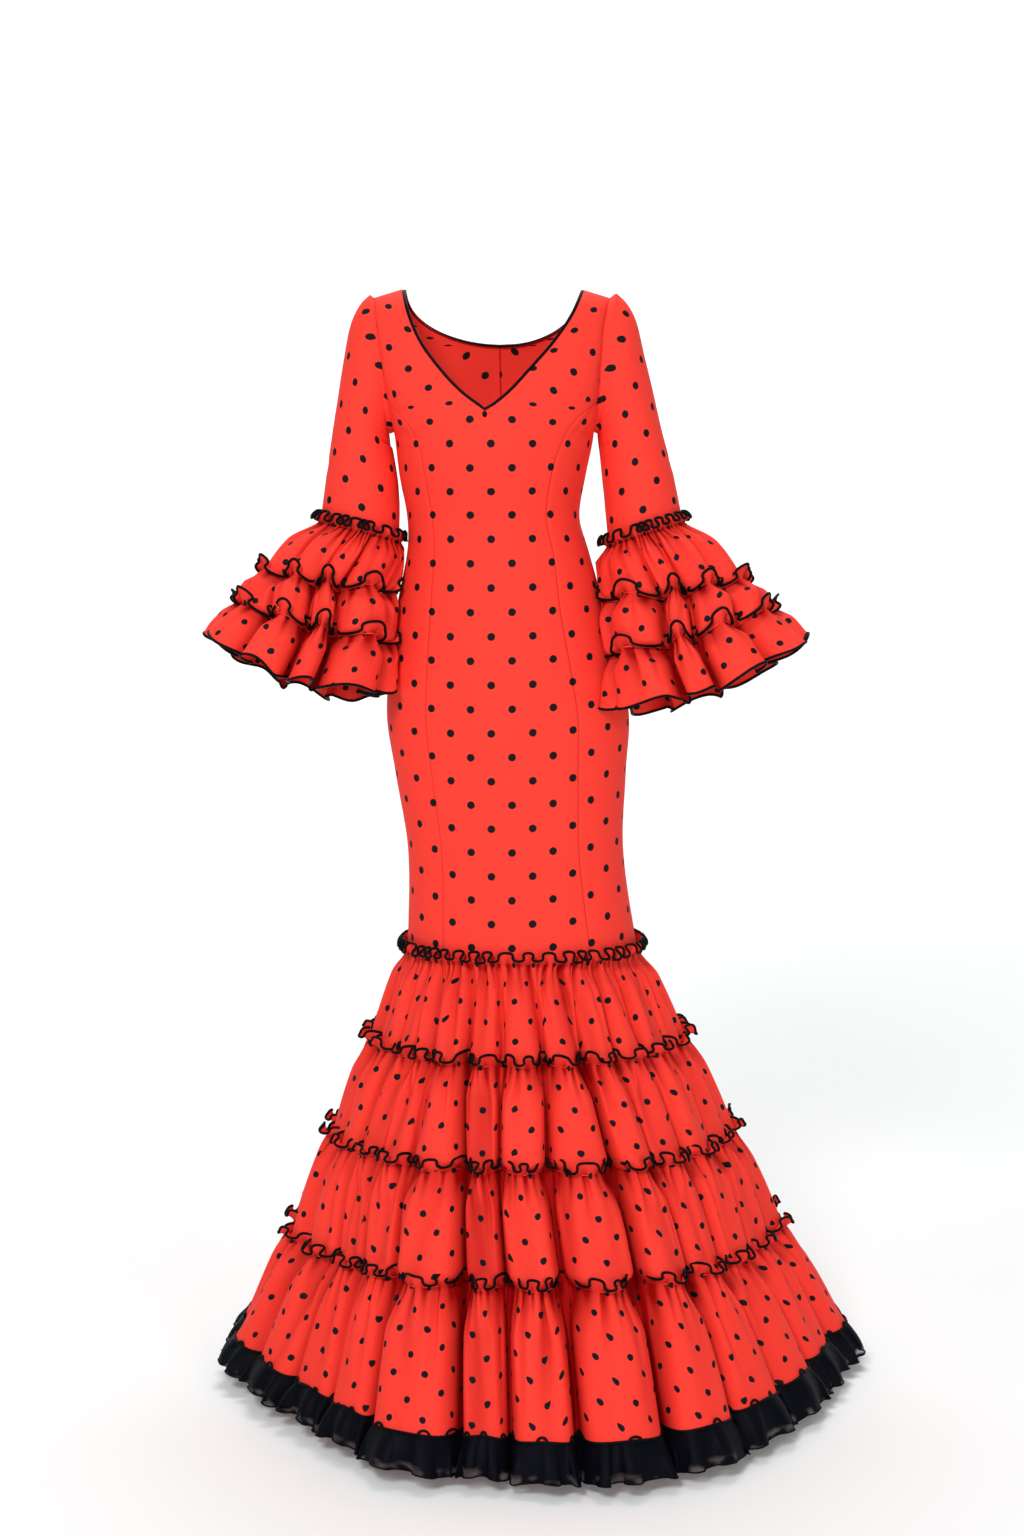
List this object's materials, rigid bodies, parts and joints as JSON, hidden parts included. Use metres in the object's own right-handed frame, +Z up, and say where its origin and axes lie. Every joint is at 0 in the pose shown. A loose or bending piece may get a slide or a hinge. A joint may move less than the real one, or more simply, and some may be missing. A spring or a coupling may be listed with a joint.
{
  "type": "flamenco dress",
  "caption": "Long flamenco dress with a V neckline, fitted princess-line body, gathered ruffled sleeves, tiered gathered skirt and a contrasting hem ruffle, open and hollow as worn.",
  "frame": {"origin": "the middle of the shoulder line, level with the neck ends of the shoulder seams, where the wearer holds it up", "axes": "+Z up along the dress, the front faces -Y, +X towards a viewer's right"},
  "size_m": [0.9085, 0.9401, 1.4613],
  "materials": {
    "red_crepe": "matt woven crepe, vermilion with small black dots",
    "black_organza": "crisp sheer organza, blue-black",
    "black_satin": "satin bias piping and rolled edges, softly shiny"
  },
  "bodies": {
    "root": {"centre_front": "red_crepe", "side_front_left": "red_crepe", "side_front_right": "red_crepe", "side_back_left": "red_crepe", "side_back_right": "red_crepe", "centre_back_left": "red_crepe", "centre_back_right": "red_crepe", "sleeve_left": "red_crepe", "sleeve_right": "red_crepe", "sleeve_left_tier_1": "red_crepe", "sleeve_left_tier_2": "red_crepe", "sleeve_left_tier_3": "red_crepe", "sleeve_right_tier_1": "red_crepe", "sleeve_right_tier_2": "red_crepe", "sleeve_right_tier_3": "red_crepe", "skirt_tier_1": "red_crepe", "skirt_tier_2": "red_crepe", "skirt_tier_3": "red_crepe", "skirt_tier_4": "red_crepe", "hem_ruffle": "black_organza", "neck_piping": "black_satin"}
  },
  "joints": []
}
